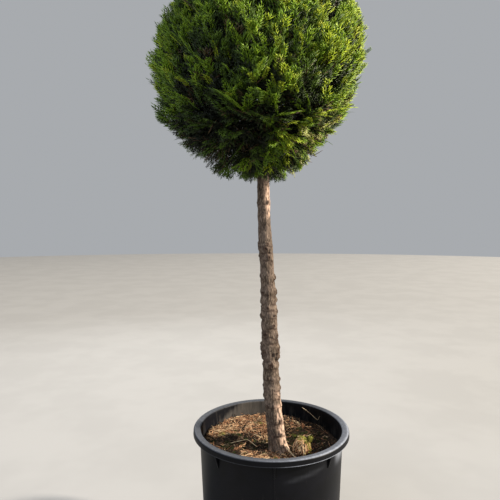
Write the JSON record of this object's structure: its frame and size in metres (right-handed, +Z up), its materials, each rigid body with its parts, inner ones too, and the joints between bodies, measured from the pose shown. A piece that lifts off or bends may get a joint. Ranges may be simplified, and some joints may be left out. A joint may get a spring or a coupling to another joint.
{
  "type": "standard lollipop topiary in a nursery pot",
  "caption": "Scale-leaved conifer grown as a standard: a clipped ball of foliage on a tall knotty clear stem, rooted in potting mix in a round tapered nursery pot with a turned-down rim.",
  "frame": {"origin": "centre of the pot's flat underside, on the ground", "axes": "+Z up along the pot's axis and the plant's height; the front of the plant faces -Y and +X is to the viewer's right"},
  "size_m": [0.5519, 0.5572, 1.5448],
  "materials": {
    "pot_plastic": "satin, blow moulded",
    "potting_mix": "loose shredded bark and needles",
    "moss": "soft moss and dry roots",
    "bark": "fibrous grey-brown bark",
    "foliage": "flat sprays of scale leaves"
  },
  "bodies": {
    "root": {"pot": "pot_plastic", "soil": "potting_mix", "moss_clod": "moss", "trunk": "bark", "clipped_ball": "foliage"}
  },
  "joints": []
}
